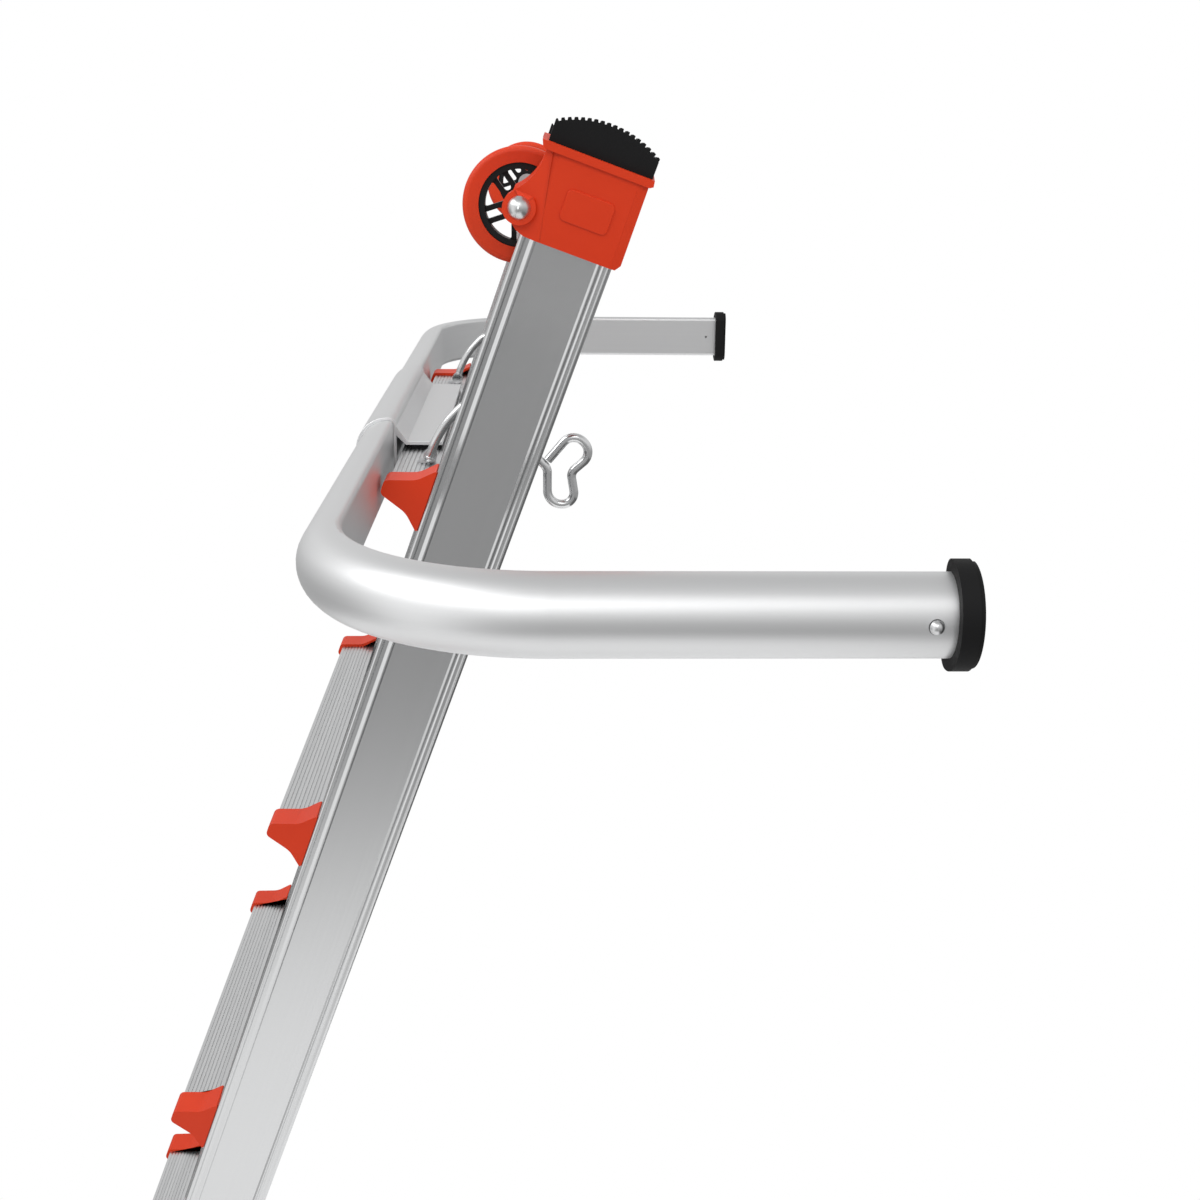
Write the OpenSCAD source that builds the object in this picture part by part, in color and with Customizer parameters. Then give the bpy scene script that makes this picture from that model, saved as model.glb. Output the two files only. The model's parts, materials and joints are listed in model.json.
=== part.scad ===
// Telescoping combination ladder leaning at its working angle, with wall stand-off.
// One half stands on its feet, the other continues upwards; x is sideways, y points
// to the wall, z is up. The origin is on the ground, midway between the two feet.

/* [Ladder] */
// Lean of the rails from the vertical, degrees
lean = 19.6; // [18:0.1:21]
// Spacing of the rungs along the rails
rung_pitch = 304.8; // [295:0.1:310]
// Rungs on each section
rung_count = 5; // [5:1:6]
// Distance from the first rung of an outer section to its foot
foot_gap = 294.5; // [285:0.5:320]
// Half of the outer width at the rung next to the foot
half_width = 285; // [275:0.5:295]
// Flare of each outer rail, degrees
flare = 6.94; // [6.2:0.01:7.4]
// Height above the fold at which the outer rails start to flare
kink_h = 410; // [395:1:425]

/* [Outer rails] */
// Front face of the rails, behind the nose of the treads
rail_front = 33.9; // [33:0.1:35]
// Depth of the rail from front to back
rail_depth = 67.2; // [64:0.1:70]
// Reach of the rail flanges towards the middle
rail_flange = 28; // [25:0.5:31]
// Thickness of the rail web
rail_web = 3.4; // [3:0.1:4]
// Thickness of the rail flanges
rail_skin = 2.8; // [2.4:0.1:3.2]
// Width of the two grooves in the web
groove_w = 3.3; // [2:0.1:3.6]
// Depth of the grooves and of the middle panel
groove_d = 1.1; // [0.6:0.1:1.4]
// Front groove, from the front of the rail
groove_front = 4.1; // [3.5:0.1:4.6]
// Rear groove, from the back of the rail
groove_rear = 5.8; // [5:0.1:6.4]
// Front edge of the sunk panel, from the front of the rail
panel_front = 11.7; // [10:0.1:13]
// Rear edge of the sunk panel, from the back of the rail
panel_rear = 10.4; // [10.2:0.1:12]

/* [Inner rails] */
// Sliding gap between inner and outer rails
slide_gap = 0.4; // [0.3:0.05:0.6]
// Thickness of the inner rail walls
inner_wall = 3; // [2.6:0.1:3.4]
// Reach of the inner rail flanges
inner_flange = 26; // [24:0.5:28]
// Gap between the end of the inner rails and the foot
inner_short = 126; // [120:1:150]
// Start of the inner rails, from the fold
rail_start = 50; // [50:0.5:54]

/* [Rungs and brackets] */
// Front edge of the rungs
rung_nose = 2.6; // [2:0.1:3.5]
// Half thickness of the tread wedge at its nominal front
tread_half = 2.85; // [2.6:0.05:3.2]
// Wall of the hollow rungs
rung_wall = 2; // [1.8:0.1:2.4]
// Number of grip grooves on each tread face
grip_count = 9; // [7:1:10]
// Depth of the grip grooves
grip_depth = 0.8; // [0.5:0.1:1]
// Front of the inner rungs
inner_nose = 50; // [49:0.5:52]
// Bracket wall over the tread
bracket_lip = 2.65; // [2.4:0.05:2.9]
// Length of a bracket along the rung
bracket_len = 28.7; // [27:0.1:30]
// Height of the flared bracket back, each way from the rung
bracket_back = 25.5; // [24:0.1:27]
// Depth at which the bracket flare starts
bracket_bend = 21.6; // [20:0.1:23]
// Step from the web face to the bracket end
bracket_step = 1; // [0.8:0.1:1.4]

/* [Boots and feet] */
// Radius of the curved foot
foot_r = 74; // [72:0.5:78]
// Centre of the foot curve, from the front of the treads
foot_c = 68; // [66:0.5:70]
// Height of the foot teeth
tooth_h = 1.8; // [1:0.1:2.2]
// Angle from tooth to tooth, degrees
tooth_pitch = 3.5; // [3.3:0.1:4]
// Height of the boot rim above the foot
rim_t = 24.5; // [23:0.5:26]
// Height of the top edge of the boot
boot_t = 90.3; // [88:0.1:93]
// Wall of the boot
boot_wall = 3; // [2.5:0.1:3.2]
// End of the rail inside the boot
rail_end_t = 42; // [40:0.5:45]

/* [Wheels] */
// Wheel radius
wheel_r = 40.3; // [38:0.1:41]
// Width of the tyre
tyre_w = 24; // [20:0.5:25]
// Inner radius of the tyre
rim_r = 29; // [27:0.1:31]
// Thickness of the wheel rim
rim_wall = 4.4; // [3:0.1:5]
// Number of spoke pairs
spoke_pairs = 5; // [4:1:6]
// Axle radius
axle_r = 5; // [4.5:0.1:5.5]
// Depth of the axle behind the front of the treads
axle_n = 27.5; // [27:0.1:28]
// Distance of the axle from the end of the foot
axle_t = 72.8; // [72:0.1:74]
// Distance from the rail web to the middle of the wheel
wheel_in = 50; // [49:0.5:52]
// Radius of the axle ear on the boot
ear_r = 11.5; // [10.5:0.1:12]

/* [Fold hinge] */
// Pivot behind the front of the treads
pivot_n = 112; // [110:0.5:114]
// Radius of the hinge discs
disc_r = 45; // [43:0.5:45]
// Middle plane of the hinge, from the outer face of the rails
hinge_in = 19; // [18:0.1:20]
// Thickness of the tongue
tongue_w = 6; // [5:0.1:7]
// Thickness of each fork plate
fork_w = 4; // [3.5:0.1:4.5]
// Radius of the pivot sleeve
sleeve_r = 14; // [12:0.5:15]
// Radius of the knob stem
stem_r = 8; // [7:0.5:9]
// Radius on which the lock pins stand
lock_ring = 30; // [28:0.5:31]
// Radius of the hinge lock pins
lock_pin_r = 4; // [3.5:0.1:4.5]
// Travel of the hinge knob
knob_travel = 6.5; // [5:0.1:7]
// Fold at which the hinge locks as a stepladder, degrees
stage_fold = 148; // [140:1:155]

/* [Rail locks] */
// Radius of the rail lock pin
rail_pin_r = 6.35; // [5.5:0.05:6.6]
// Travel of the rail lock pin
rail_pin_travel = 17; // [14:0.5:19]
// Depth of the lock holes behind the front of the treads
lock_n = 67.5; // [66.5:0.1:68.5]
// Radius of the lock handle
handle_r = 17; // [15:0.5:19]

/* [Stand-off] */
// Radius of the round side of the tube
tube_r = 23.75; // [22:0.05:25]
// Corner radius at the flat side of the tube
tube_c = 4; // [3.5:0.1:5]
// Wall of the tube
tube_wall = 2; // [1.6:0.1:2.4]
// Half of the outer width over the arms
arm_half = 635.2; // [620:0.1:650]
// Outer radius of the bends
bend_r = 150; // [140:1:160]
// Tube centre line in front of the tread edge
tube_y = 9.4; // [9.4:0.1:11]
// Tube centre below the tread edge
tube_drop = 3; // [2:0.1:4]
// End of the arms behind the tread edge
arm_end = 332.7; // [320:0.1:345]
// Wall of the sleeve
sleeve_wall = 2.5; // [2:0.1:2.6]
// Half length of the sleeve and its plate
sleeve_half = 153; // [140:1:165]
// Height of the plate above the tread edge
plate_top = 4; // [3.5:0.1:5]
// Thickness of the plate
plate_t = 3; // [2.5:0.1:3.2]
// Depth of the plate behind the tread edge
plate_back = 34; // [32:0.5:36]
// Thickness of the wall pads
pad_t = 12.5; // [11:0.1:15]
// Overhang of the wall pads round the tube
pad_lip = 7; // [5:0.1:9]
// Radius of the spring buttons
button_r = 4; // [3.5:0.1:4.5]
// Distance of the spring buttons from the arm ends
button_back = 11.7; // [11:0.1:13]

/* [Wire bail] */
// Radius of the bail wire
wire_r = 3.4; // [3:0.1:3.5]
// Distance of the bail legs from the middle
bail_x = 215; // [212:0.5:222]
// Bail pivot behind the tread edge
bail_y = 27.5; // [26.5:0.1:28.5]
// Radius of the bow in each bail leg
bow_r = 78; // [60:1:80]

/* [Fits] */
// Radial clearance of running fits
run_fit = 0.06; // [0.03:0.01:0.09]
// Gap between pieces that pass each other
pass_gap = 0.35; // [0.3:0.01:0.4]

/* [Hidden] */
$fn = 64;
eps = 0.5;
slope = tan(lean);
half_len = foot_gap + (rung_count - 1) * rung_pitch + rung_pitch / 2;
function rung_h(k) = half_len - foot_gap - (k - 1) * rung_pitch;
par_out = half_width - (rung_h(1) - kink_h) * tan(flare);
function web_x(h) = par_out + max(0, h - kink_h) * tan(flare);
rail_back = rail_front + rail_depth;
inner_front = rail_front + rail_skin + slide_gap;
inner_back = rail_back - rail_skin - slide_gap;
inner_out = par_out - rail_web - slide_gap;
inner_web_in = inner_out - inner_wall;
foot_h = (half_len - kink_h) / cos(flare);
hinge_x = par_out - hinge_in;
wheel_h = half_len - axle_t;
wheel_web = web_x(wheel_h);
wheel_x = wheel_web - wheel_in;
ear_seat = wheel_web - rail_flange - boot_wall - 2.5;
ear_face = wheel_web + boot_wall + 1.2;
orange = [0.80, 0.25, 0.14];
black = [0.11, 0.11, 0.11];
silver = [0.74, 0.75, 0.76];
steel = [0.62, 0.63, 0.65];

// placing: a half is drawn with x sideways, y from tread nose to wall, z from fold to foot
module leaned() {
  translate([0, 0, foot_r])
    rotate([-lean, 0, 0])
      translate([0, -foot_c, half_len - foot_r])
        children();
}

module upper() {
  leaned() children();
}

module lower() {
  leaned() mirror([0, 0, 1]) children();
}

module left() {
  mirror([1, 0, 0]) children();
}

module at_edge() {
  leaned()
    translate([0, 0, rung_h(1) + tread_half + bracket_lip])
      rotate([lean, 0, 0])
        children();
}

module along_x(a, b) {
  translate([a, 0, 0])
    rotate([90, 0, 90])
      linear_extrude(b - a)
        children();
}

module rod_x(a, b, r) {
  translate([a, 0, 0])
    rotate([0, 90, 0])
      cylinder(h = b - a, r = r);
}

module flared() {
  translate([par_out, 0, kink_h])
    rotate([0, flare, 0])
      children();
}

// outer rails: channels bent outwards, with two grooves and a sunk panel in the web
rail_low = rail_start + slide_gap;
rail_run = foot_h - rail_end_t;
function bend_point(d) = [par_out - d, kink_h + d * tan(flare / 2)];
function end_point(d, l) = [
  par_out - d * cos(flare) + l * sin(flare),
  kink_h + d * sin(flare) + l * cos(flare)
];

module along_y(a, b) {
  translate([0, b, 0])
    rotate([90, 0, 0])
      linear_extrude(b - a)
        children();
}

module bent_strip(a, b, past) {
  polygon([
    [par_out - b, rail_low - past],
    [par_out - a, rail_low - past],
    bend_point(a),
    end_point(a, rail_run + past),
    end_point(b, rail_run + past),
    bend_point(b)
  ]);
}

module outer_rail() {
  difference() {
    union() {
      along_y(rail_front, rail_back)
        bent_strip(0, rail_web, 0);
      along_y(rail_front, rail_front + rail_skin)
        bent_strip(0, rail_flange, 0);
      along_y(rail_back - rail_skin, rail_back)
        bent_strip(0, rail_flange, 0);
    }
    along_y(rail_front + groove_front, rail_front + groove_front + groove_w)
      bent_strip(-eps, groove_d, 1);
    along_y(rail_back - groove_rear - groove_w, rail_back - groove_rear)
      bent_strip(-eps, groove_d, 1);
    along_y(rail_front + panel_front, rail_back - panel_rear)
      bent_strip(-eps, groove_d, 1);
    translate([0, lock_n, rung_h(rung_count)])
      rod_x(par_out - rail_flange, par_out + 5, rail_pin_r + pass_gap);
  }
}

// inner rails with a lock hole at every rung
module inner_rail() {
  difference() {
    translate([0, 0, rail_start])
      linear_extrude(half_len - inner_short - rail_start)
        difference() {
          translate([inner_out - inner_flange, inner_front])
            square([inner_flange, inner_back - inner_front]);
          translate([inner_out - inner_flange - eps, inner_front + inner_wall])
            square([inner_flange + eps - inner_wall, inner_back - inner_front - 2 * inner_wall]);
        }
    for (k = [1:rung_count])
      translate([0, lock_n, rung_h(k)])
        rod_x(inner_web_in - 1, inner_out + 1, rail_pin_r + pass_gap);
  }
}

// rungs: hollow wedge with a level tread for the ladder and one for the stepladder
function tread_at(n) = tread_half + slope * n;

module wedge(a, b, s) {
  polygon([[a, tread_at(a) + s], [b, tread_at(b) + s], [b, -tread_at(b) - s], [a, -tread_at(a) - s]]);
}

module grips() {
  for (i = [1:grip_count])
    for (m = [0, 1])
      mirror([0, m])
        let (n = rung_nose + i * (rail_front - rung_nose) / (grip_count + 1))
          translate([n, tread_at(n)])
            rotate(lean)
              square([1.3, 2 * grip_depth], center = true);
}

module rung_section() {
  difference() {
    wedge(rung_nose, rail_front, 0);
    wedge(rung_nose + rung_wall, rail_front - rung_wall, -rung_wall / cos(lean));
    grips();
  }
}

module outer_rungs() {
  for (k = [1:rung_count])
    let (x = web_x(rung_h(k) - tread_at(rail_front)) - bracket_step - bracket_lip - 0.3)
      translate([0, 0, rung_h(k)])
        along_x(-x, x)
          rung_section();
}

module inner_rungs() {
  for (k = [1:rung_count])
    translate([0, inner_nose - rung_nose, rung_h(k)])
      along_x(-inner_web_in, inner_web_in)
        rung_section();
}

// brackets: folded shell that wraps the end of the rung and flares to the rail
module bracket_outline() {
  polygon([
    [-0.5, tread_at(0) + bracket_lip],
    [bracket_bend, tread_at(bracket_bend) + bracket_lip],
    [rail_front, bracket_back],
    [rail_front, -bracket_back],
    [bracket_bend, -tread_at(bracket_bend) - bracket_lip],
    [-0.5, -tread_at(0) - bracket_lip]
  ]);
}

module bracket_hollow() {
  wedge(rung_nose, bracket_bend + 1.4, 0);
  polygon([
    [bracket_bend + 1.4, tread_at(bracket_bend + 1.4)],
    [rail_front + eps, bracket_back - bracket_lip],
    [rail_front + eps, -bracket_back + bracket_lip],
    [bracket_bend + 1.4, -tread_at(bracket_bend + 1.4)]
  ]);
}

module web_side(k, off) {
  translate([web_x(rung_h(k)), -rail_front / 2, rung_h(k)])
    rotate([0, rung_h(k) > kink_h ? flare : 0, 0])
      translate([-half_width / 2 - off, 0, -rung_pitch / 3])
        cube([half_width / 2, 2 * rail_front, 2 * rung_pitch / 3]);
}

module bracket(k) {
  let (x = web_x(rung_h(k)) - bracket_step)
    difference() {
      intersection() {
        translate([0, 0, rung_h(k)])
          along_x(x - bracket_len, x + 8)
            bracket_outline();
        web_side(k, bracket_step);
      }
      intersection() {
        translate([0, 0, rung_h(k)])
          along_x(x - bracket_len - 1, x + 8)
            bracket_hollow();
        web_side(k, bracket_step + bracket_lip);
      }
    }
}

module brackets() {
  for (m = [0, 1])
    mirror([m, 0, 0])
      for (k = [1:rung_count])
        bracket(k);
}

// boots: moulded shoes over the rail ends, the upper pair with ears for the wheel axles
module boot_shape(eared) {
  difference() {
    polygon([
      [eared ? 20 : 31, -rim_t - 8],
      [105.1, -rim_t - 8],
      [106, -boot_t + 4],
      [103, -boot_t],
      [36.2, -boot_t],
      [eared ? 30 : 31, -boot_t + 2],
      [eared ? 24.2 : 31, -boot_t + 6.5],
      [eared ? 20 : 31, -boot_t + 12]
    ]);
    if (eared)
      translate([-6, -36])
        circle(38.2);
  }
}

module boot(eared) {
  difference() {
    union() {
      flared()
        translate([0, 0, foot_h])
          difference() {
            along_x(-rail_flange - boot_wall, boot_wall)
              boot_shape(eared);
            translate([boot_wall - 0.2, 36.2, -rim_t - 8])
              rotate([12, 0, 0])
                rotate([0, 0, 14])
                  translate([0, -60, -90])
                    cube([20, 60, 120]);
            translate([boot_wall - 0.2, 98, -rim_t - 8])
              rotate([1.5, 0, 0])
                rotate([0, 0, -14])
                  translate([0, 0, -90])
                    cube([20, 60, 120]);
          }
      flared()
        translate([0, 0, foot_h])
          along_x(-rail_flange - boot_wall - 2, boot_wall + 2)
            polygon([
              [27.5, -rim_t],
              [107.3, -rim_t],
              [107.9, -rim_t - 7.5],
              [105.5, -rim_t - 10],
              [31.5, -rim_t - 10],
              [29.2, -rim_t - 7.5]
            ]);
      if (eared)
        translate([0, axle_n, wheel_h])
          rod_x(ear_seat, ear_face, ear_r);
    }
    flared()
      translate([-rail_flange, rail_front, foot_h - boot_t - 10])
        cube([rail_flange, rail_depth, boot_t + 10 - rail_end_t]);
    flared()
      translate([-rail_flange + 5, 48, foot_h - 36])
        cube([rail_flange - 10, 40, 36]);
    if (eared)
      translate([0, axle_n, wheel_h])
        rod_x(wheel_web - 60, wheel_web + 20, axle_r);
  }
}

// feet: rubber block with a rolling sole, its teeth level with the ground
function sole(a, r) = [foot_c + r * sin(a), half_len - foot_r + r * cos(a)];

module toothed() {
  let (low = ceil((-32 - lean) / tooth_pitch), high = floor((32 - lean) / tooth_pitch))
    polygon(concat(
      [for (i = [low:high], c = [[-0.30, 1], [-0.20, 0], [0.20, 0], [0.30, 1]])
        sole(lean + (i + c[0]) * tooth_pitch, foot_r - c[1] * tooth_h)],
      [[foot_c + 60, half_len - 60], [foot_c - 60, half_len - 60]]
    ));
}

module foot() {
  intersection() {
    along_x(web_x(half_len) - 2 * rail_flange, web_x(half_len) + rail_flange)
      toothed();
    flared()
      translate([-rail_flange - 1, 31.6, foot_h - rim_t])
        cube([rail_flange + 2, 74, rim_t + 20]);
  }
  flared()
    translate([-rail_flange + 5, 48, foot_h - 36])
      cube([rail_flange - 10, 40, 36 - rim_t]);
}

// wheels
module at_wheel() {
  translate([wheel_x, axle_n, wheel_h])
    rotate([0, 90, 0])
      children();
}

module tyre() {
  at_wheel()
    rotate_extrude()
      union() {
        translate([rim_r, -tyre_w / 2])
          square([wheel_r - rim_r - 4, tyre_w]);
        translate([rim_r, -tyre_w / 2 + 4])
          square([wheel_r - rim_r, tyre_w - 8]);
        for (s = [-1, 1])
          translate([wheel_r - 4, s * (tyre_w / 2 - 4)])
            circle(4);
      }
}

module hub() {
  at_wheel()
    difference() {
      union() {
        difference() {
          cylinder(h = tyre_w - 4, r = rim_r, center = true);
          cylinder(h = tyre_w, r = rim_r - rim_wall, center = true);
        }
        cylinder(h = tyre_w - 2, r = axle_r + 4, center = true);
        for (i = [1:spoke_pairs], s = [-1, 1])
          rotate(i * 360 / spoke_pairs + s * 9)
            translate([axle_r + 2, -1.2 + s * 1.5, -5])
              cube([rim_r - rim_wall - axle_r - 0.5, 2.4, 10]);
      }
      cylinder(h = tyre_w, r = axle_r + run_fit, center = true);
    }
}

module axle() {
  let (hub_out = wheel_x + tyre_w / 2 - 1, hub_in = wheel_x - tyre_w / 2 + 1)
    translate([0, axle_n, wheel_h]) {
      rod_x(hub_in - 5, ear_face + 0.6, axle_r);
      rod_x(hub_out + pass_gap, ear_seat, axle_r + 3);
      rod_x(hub_in - 5, hub_in - pass_gap, axle_r + 4);
      translate([ear_face, 0, 0])
        rotate([0, 90, 0])
          rotate_extrude()
            intersection() {
              translate([0, -3])
                circle(8.5);
              square([10, 10]);
            }
    }
}

// fold hinge: tongue on the upper half, fork on the lower half
module leaf_plate(w) {
  let (
    reach = norm([pivot_n - inner_front - inner_wall, rail_start + 2]),
    aim = atan2(-rail_start - 2, pivot_n - inner_front - inner_wall) - asin(disc_r / reach) - 90
  )
    translate([0, pivot_n, 0]) {
      rod_x(-w / 2, w / 2, disc_r);
      along_x(-w / 2, w / 2)
        polygon([
          [inner_front + inner_wall - pivot_n, rail_start + 30],
          [inner_front + inner_wall - pivot_n, rail_start + 2],
          [disc_r * cos(aim), disc_r * sin(aim)],
          [0, 0],
          [0, disc_r],
          [inner_back - inner_wall - pivot_n, rail_start - 0.6],
          [inner_back - inner_wall - pivot_n, rail_start + 30]
        ]);
    }
}

module leaf_block() {
  translate([hinge_x - 12, inner_front + inner_wall, rail_start])
    cube([inner_web_in - hinge_x + 12, inner_back - inner_front - 2 * inner_wall, 80]);
  translate([hinge_x - 12, inner_front, rail_start - 5])
    cube([par_out - hinge_x + 12, inner_back - inner_front, 5]);
}

module ring_holes(angles, r) {
  for (a = angles, s = [-1, 1])
    translate([0, pivot_n + s * lock_ring * sin(a), s * lock_ring * cos(a)])
      rod_x(hinge_x - 20, hinge_x + 20, r);
}

module tongue() {
  difference() {
    union() {
      translate([hinge_x, 0, 0])
        leaf_plate(tongue_w);
      leaf_block();
    }
    translate([0, pivot_n, 0])
      rod_x(hinge_x - 20, hinge_x + 20, sleeve_r + run_fit);
    ring_holes([0, -stage_fold], lock_pin_r + pass_gap);
  }
}

fork_gap = tongue_w / 2 + pass_gap;

module fork() {
  difference() {
    union() {
      for (s = [-1, 1])
        translate([hinge_x + s * (fork_gap + fork_w / 2), 0, 0])
          leaf_plate(fork_w);
      leaf_block();
    }
    translate([0, pivot_n, 0])
      rod_x(hinge_x - 20, hinge_x + 20, sleeve_r);
    ring_holes([0], lock_pin_r + run_fit);
  }
}

module pivot_sleeve() {
  translate([0, pivot_n, 0])
    difference() {
      union() {
        rod_x(hinge_x - fork_gap - fork_w, hinge_x + fork_gap + fork_w + 2, sleeve_r);
        rod_x(hinge_x + fork_gap + fork_w, hinge_x + fork_gap + fork_w + 2, sleeve_r + 4);
      }
      rod_x(hinge_x - 30, hinge_x + 30, stem_r + run_fit);
    }
}

// knob at rest is pressed in: its spider stands off the fork and the pins are clear
module knob() {
  let (
    cap = hinge_x + fork_gap + fork_w + 2 + pass_gap,
    spider = hinge_x - fork_gap - fork_w - pass_gap - knob_travel
  )
    translate([0, pivot_n, 0]) {
      rod_x(spider - 3, cap + 5, stem_r);
      translate([cap, 0, 0])
        rotate([0, 90, 0])
          rotate_extrude()
            union() {
              square([20, 7]);
              square([17, 10]);
              translate([17, 7])
                circle(3);
            }
      rod_x(spider - 3, spider, lock_ring + lock_pin_r + 2);
      for (s = [-1, 1])
        translate([0, 0, s * lock_ring])
          rod_x(spider - 1, hinge_x - tongue_w / 2 - pass_gap - 0.2, lock_pin_r);
    }
}

// rail locks: a pin through the outer web into the inner rung, drawn out at rest
lock_seat = par_out - groove_d;
lock_nose = inner_out + pass_gap + 0.5;

module at_lock() {
  translate([0, lock_n, rung_h(rung_count)]) children();
}

module lock_housing() {
  at_lock()
    difference() {
      union() {
        translate([lock_seat, -20, -30])
          cube([4, 40, 60]);
        rod_x(lock_seat, lock_seat + 20, 13);
        translate([lock_seat, -2.5, -26])
          cube([12, 5, 52]);
      }
      rod_x(lock_seat - 1, lock_seat + 30, rail_pin_r + run_fit);
    }
}

module lock_pin() {
  at_lock()
    rod_x(lock_nose, lock_seat + 20 + pass_gap + rail_pin_travel + 8, rail_pin_r);
}

module lock_handle() {
  at_lock()
    translate([lock_seat + 20 + pass_gap + rail_pin_travel, 0, 0])
      rotate([0, 90, 0])
        difference() {
          rotate_extrude()
            difference() {
              union() {
                square([handle_r, 14]);
                square([handle_r - 3, 17]);
                translate([handle_r - 3, 14])
                  circle(3);
              }
              translate([handle_r + 2.5, 6])
                circle(5);
            }
          translate([0, 0, -1])
            cylinder(h = 9, r = rail_pin_r);
        }
}

// stand-off: D-shaped tube, its flat side towards the ladder
module tube_section(o) {
  let (flat_half = tube_r - tube_c) {
    intersection() {
      circle(tube_r + o);
      translate([-50, -50])
        square([50, 100]);
    }
    translate([0, -flat_half])
      square([tube_c + o, 2 * flat_half]);
    for (s = [-1, 1])
      translate([0, s * flat_half])
        circle(tube_c + o);
  }
}

module tube_wall_section() {
  difference() {
    tube_section(0);
    tube_section(-tube_wall);
  }
}

arm_x = arm_half - tube_r;
bend_x = arm_half - bend_r;
bend_y = bend_r - tube_r - tube_y;
button_y = arm_end - button_back;

module at_tube() {
  at_edge() translate([0, 0, -tube_drop]) children();
}

module run_y(a, b) {
  translate([arm_x, a, 0])
    rotate([-90, 0, 0])
      linear_extrude(b - a)
        mirror([1, 0])
          children();
}

module arm() {
  at_tube()
    difference() {
      union() {
        translate([0, -tube_y, 0])
          along_x(0.5, bend_x)
            tube_wall_section();
        translate([bend_x, bend_y, 0])
          rotate([0, 0, -90])
            rotate_extrude(angle = 90)
              translate([bend_r - tube_r, 0])
                mirror([1, 0])
                  tube_wall_section();
        run_y(bend_y, arm_end)
          tube_wall_section();
      }
      translate([0, button_y, 0])
        rod_x(arm_x, arm_half + 5, button_r + pass_gap);
      translate([0, button_y, 0])
        rod_x(arm_x - 10, arm_x, 1.25);
    }
}

module sleeve_and_plate() {
  at_edge() {
    translate([0, -tube_y, -tube_drop])
      along_x(-sleeve_half, sleeve_half)
        difference() {
          tube_section(sleeve_wall);
          tube_section(0);
        }
    along_x(-sleeve_half, sleeve_half)
      let (back = tube_c + sleeve_wall - tube_y)
        polygon([
          [back - sleeve_wall / 2, plate_top + 12],
          [back, plate_top + 12],
          [6, plate_top],
          [plate_back, plate_top],
          [plate_back, plate_top - plate_t],
          [4.4, plate_top - plate_t],
          [back - sleeve_wall / 2, plate_top + 5.5]
        ]);
  }
}

tread_z = -bracket_lip * cos(lean);

module liner_strip() {
  at_edge()
    along_x(3 - sleeve_half, sleeve_half - 3)
      translate([8, tread_z])
        square([plate_back - 9, plate_top - plate_t - tread_z]);
}

module pad() {
  at_tube()
    difference() {
      union() {
        run_y(arm_end - 30, arm_end)
          tube_section(-tube_wall);
        run_y(arm_end, arm_end + pad_t - 2.5)
          tube_section(pad_lip);
        run_y(arm_end + pad_t - 2.5, arm_end + pad_t)
          tube_section(pad_lip - 1.5);
      }
      translate([0, button_y, 0])
        rod_x(arm_x - 6, arm_half, button_r + 4);
    }
}

module button() {
  at_tube()
    translate([0, button_y, 0]) {
      rod_x(arm_half - tube_wall - 6, arm_half + 1, button_r);
      rod_x(arm_half - tube_wall - 4, arm_half - tube_wall - 1, button_r + 2);
      translate([arm_half + 1, 0, 0])
        rotate([0, 90, 0])
          rotate_extrude()
            intersection() {
              translate([0, -1])
                circle(norm([button_r, 1]));
              square([button_r, 2 * button_r]);
            }
    }
}

// wire bail: two bowed legs that turn in lugs on the top rung, joined by a cross bar
// behind it, with a heart-shaped finger loop at the end of the right leg
bail_z = tread_z + wire_r + 1.6;
bow_corner = [bail_y + 6.4, bail_z + 20.9];
bow_top = [62, 51.6];
cross_bar = [110.4, 3.2];
leg_path = [[bail_y, bail_z, 0], [bow_corner[0], bow_corner[1], bow_r], [bow_top[0], bow_top[1], 16]];
left_path = concat(leg_path, [[cross_bar[0] + 4, cross_bar[1] - 4, 0]]);
loop_path = concat(leg_path, [
  [118.2, -4.6, 9], [118.2, -33.3, 11], [140.3, -33.3, 9], [136.3, -8.2, 7.5],
  [153.9, 7, 10.4], [138.1, 24.3, 10.4], [118.9, 1.7, 0]
]);
bend_lap = 0.6;
function spot(path, i) = [path[i][0], path[i][1]];
function toward(a, b) = (b - a) / norm(b - a);
function turn(path, i) =
  acos(toward(spot(path, i - 1), spot(path, i)) * toward(spot(path, i), spot(path, i + 1)));
function cut(path, i) = path[i][2] == 0 ? 0 : path[i][2] * tan(turn(path, i) / 2);

module wire_run(path, i) {
  let (
    d = toward(spot(path, i), spot(path, i + 1)),
    a = spot(path, i) + d * (cut(path, i) - bend_lap),
    b = spot(path, i + 1) - d * (cut(path, i + 1) - bend_lap)
  )
    translate([0, a[0], a[1]])
      rotate([atan2(-d[0], d[1]), 0, 0])
        cylinder(h = norm(b - a), r = wire_r);
}

module wire_bend(path, i) {
  let (
    u = toward(spot(path, i), spot(path, i - 1)),
    v = toward(spot(path, i), spot(path, i + 1)),
    m = (u + v) / norm(u + v),
    c = spot(path, i) + m * path[i][2] / cos(turn(path, i) / 2),
    mid = atan2(-m[1], -m[0])
  )
    translate([0, c[0], c[1]])
      rotate([90, 0, 90])
        rotate([0, 0, mid - turn(path, i) / 2])
          rotate_extrude(angle = turn(path, i))
            translate([path[i][2], 0])
              circle(wire_r + 0.05);
}

module leg(path) {
  translate([bail_x, 0, 0]) {
    for (i = [0:len(path) - 2])
      wire_run(path, i);
    for (i = [1:len(path) - 2])
      wire_bend(path, i);
    translate([0, bail_y, bail_z])
      sphere(wire_r + 0.3);
  }
  translate([0, bail_y, bail_z]) {
    rod_x(bail_x - 18, bail_x, wire_r);
    rod_x(bail_x - 19.5, bail_x - 17.5, wire_r + 1.2);
  }
}

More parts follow.
